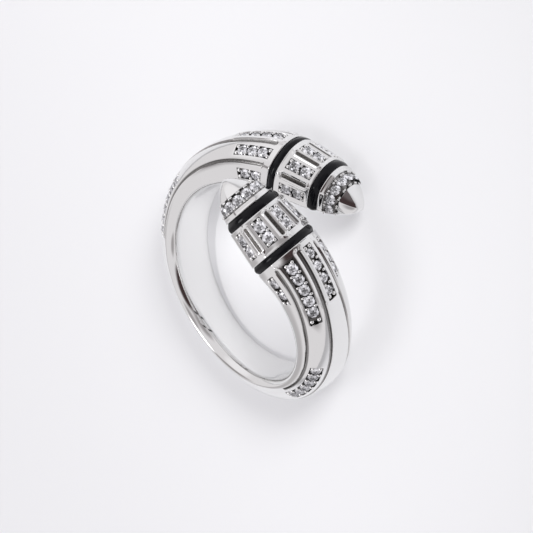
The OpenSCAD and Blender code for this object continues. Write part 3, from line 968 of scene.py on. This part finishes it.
make_band()
for arm in "ab":
    make_enamel("enamel_lower_" + arm, ARM_LIP, BARREL_START, 1, 1, arm == "a")
    make_enamel("enamel_upper_" + arm, BARREL_END, TIP_START, BARREL_TAPER, COLLAR_SIZE, arm == "a")
STONE_SHAPE = brilliant()
GROUP = setting_tree()
for arm in "ab":
    set_field("stones_arm_" + arm, arm_field(arm == "a"), arm == "a", GROUP, STONE_SHAPE)
    set_field("stones_barrel_" + arm, barrel_field(), arm == "a", GROUP, STONE_SHAPE)
    set_field("stones_tip_" + arm, tip_field(), arm == "a", GROUP, STONE_SHAPE)
bpy.data.objects.remove(STONE_SHAPE)

# Floor, light and camera

# The camera's sensor, the width that it sees at the finger hole, and its distance from there
SENSOR = 36.0
VIEW_W = 47.82
DISTANCE = 214.8
SHIFT_X, SHIFT_Y = 0.0215, 0.0195
CLIP_START = 0.01
# Its directions in the ring's own frame
CAMERA_RIGHT = np.array([0.6263, 0.2775, -0.7285])
CAMERA_BACK = np.array([0.3239, 0.7573, 0.567])


def axes_matrix(right, up, back, place):
    m = Matrix.Identity(4)
    for i, axis in enumerate((right, up, back, place)):
        for j in range(3):
            m[j][i] = float(axis[j])
    return m


def make_camera():
    data = bpy.data.cameras.new("camera")
    camera = new_object("camera", data)
    back = unit(LAY @ CAMERA_BACK)
    right = LAY @ CAMERA_RIGHT
    right = unit(right - (right @ back) * back)
    camera.matrix_world = axes_matrix(right, np.cross(back, right), back, HOLE + MM * DISTANCE * back)
    data.sensor_width = SENSOR
    data.lens = SENSOR * DISTANCE / VIEW_W
    data.shift_x, data.shift_y = SHIFT_X, SHIFT_Y
    data.clip_start = CLIP_START
    bpy.context.scene.camera = camera
    return right, np.cross(back, right), back


LIGHT_DISTANCE = 0.25
# The key's lean to the picture's right and upwards from the camera's side
KEY_SIZE, KEY_POWER, KEY_RIGHT, KEY_UP = 0.07, 0.9, 0.15, 0.35
HOLE_SPOT, HOLE_SPOT_R, HOLE_LIGHT_R, HOLE_POWER = (-0.0035, -0.005, 0.0), 0.0085, 0.007, 2.5
# The glowing card on the floor, a painted pool of light: half width of the floor, middle and radius of the
# bright part, and its fade
FLOOR_HALF, CARD_MIDDLE, CARD_R, CARD_FADE = 1.5, (-0.02, -0.035, 0.0), 0.035, 0.09


def make_floor():
    """A pale card with a painted pool of light: it glows, and its glow and colour fade darker outwards."""
    mesh = bpy.data.meshes.new("floor")
    corner_signs = ((-1, -1), (1, -1), (1, 1), (-1, 1))
    mesh.from_pydata([(FLOOR_HALF * x, FLOOR_HALF * y, 0) for x, y in corner_signs], [], [(0, 1, 2, 3)])
    floor = new_object("floor", mesh)
    material, tree, shader = new_material("pale_floor")
    # Painted light: the card's colour and glow are brighter in the middle than outside
    card, outside = (0.35, 0.35, 0.355, 1), (0.22, 0.22, 0.225, 1)
    card_glow, outside_glow = (1, 0.995, 1.04, 1), (0.5, 0.5, 0.52, 1)
    least_rough, cloud_rough = 0.5, 0.1
    place = tree.node("ShaderNodeTexCoord", output="Object")
    distance = tree.node("ShaderNodeVectorMath", {"operation": "DISTANCE"}, place, CARD_MIDDLE,
                         output="Value")
    edge = tree.node("ShaderNodeMapRange", {"interpolation_type": "SMOOTHSTEP"}, Value=distance,
                     From_Min=CARD_R, From_Max=CARD_R + CARD_FADE)
    surface(tree, shader, Base_Color=tree.blend(edge, card, outside),
            Roughness=tree.noise(scale=60.0, detail=3.0) * cloud_rough + least_rough,
            Emission_Color=tree.blend(edge, card_glow, outside_glow), Emission_Strength=0.37)
    mesh.materials.append(material)


def make_light(name, kind, target, direction, power):
    """A soft light for the floor, which the polished silver doesn't mirror."""
    data = bpy.data.lights.new(name, kind)
    data.energy = power
    light = new_object(name, data)
    towards = Vector(direction).normalized()
    light.matrix_world = (Matrix.Translation(Vector(target) + towards * LIGHT_DISTANCE)
                          @ towards.to_track_quat("Z", "Y").to_matrix().to_4x4())
    light.visible_glossy = False
    return data


def make_lights(right, up, back):
    """A key for the shadow behind the ring, and a narrow one down into the finger hole."""
    key = make_light("key", "AREA", HOLE, back + KEY_RIGHT * right + KEY_UP * up, KEY_POWER)
    key.size = KEY_SIZE
    hole = make_light("hole", "SPOT", HOLE_SPOT, (0, 0, 1), HOLE_POWER)
    hole.spot_size, hole.spot_blend = 2 * math.atan(HOLE_SPOT_R / LIGHT_DISTANCE), 1.0
    hole.shadow_soft_size = HOLE_LIGHT_R


# Soft patches of the studio's walls and ceiling, as the polished silver shows them
# Columns: turn to the picture's right from the camera's side, height over the horizon, radius where the
# patch is full, radius where it ends, brightness
SKY = 0.79
DIM_WARMTH, BRIGHT_COOLNESS = 0.02, 1.02
PATCHES = [
    (-20, 18, 19, 32, 0.04),
    (2, 2, 8, 24, 0.13),
    (24, 28, 8, 26, 0.34),
    (0, 62, 5, 18, 0.38),
    (-72, 18, 4, 15, 0.38),
    (-170, 12, 8, 20, 0.5),
    (144, 50, 8, 26, 0.26),
    (98, 24, 8, 24, 0.95),
    (160, 76, 9, 15, 5.5)]


def make_world(back):
    """A pale studio all round, with patches of other brightness in it."""
    world = bpy.data.worlds.new("studio")
    world.use_nodes = True
    bpy.context.scene.world = world
    tree = Tree(world.node_tree)
    place = tree.node("ShaderNodeTexCoord", output="Generated")
    light = SKY
    front = math.atan2(back[1], back[0])
    for turn, height, inner, outer, brightness in PATCHES:
        h, v = front + math.radians(turn), math.radians(height)
        centre = (math.cos(v) * math.cos(h), math.cos(v) * math.sin(h), math.sin(v))
        near = tree.node("ShaderNodeVectorMath", {"operation": "DOT_PRODUCT"}, place, centre,
                         output="Value")
        share = tree.node("ShaderNodeMapRange", {"interpolation_type": "SMOOTHSTEP"}, Value=near,
                          From_Min=math.cos(math.radians(outer)), From_Max=math.cos(math.radians(inner)))
        light = (1 - share) * light + share * brightness
    # Dim parts of the room are a little warm, bright parts a little cool
    colour = tree.node("ShaderNodeCombineColor", None, light + DIM_WARMTH, light, light * BRIGHT_COOLNESS)
    tree.feed(world.node_tree.nodes["Background"].inputs["Color"], colour)


right, up, back = make_camera()
make_floor()
make_lights(right, up, back)
make_world(back)
view = bpy.context.scene.view_settings
view.view_transform = "Standard"
view.look = "None"
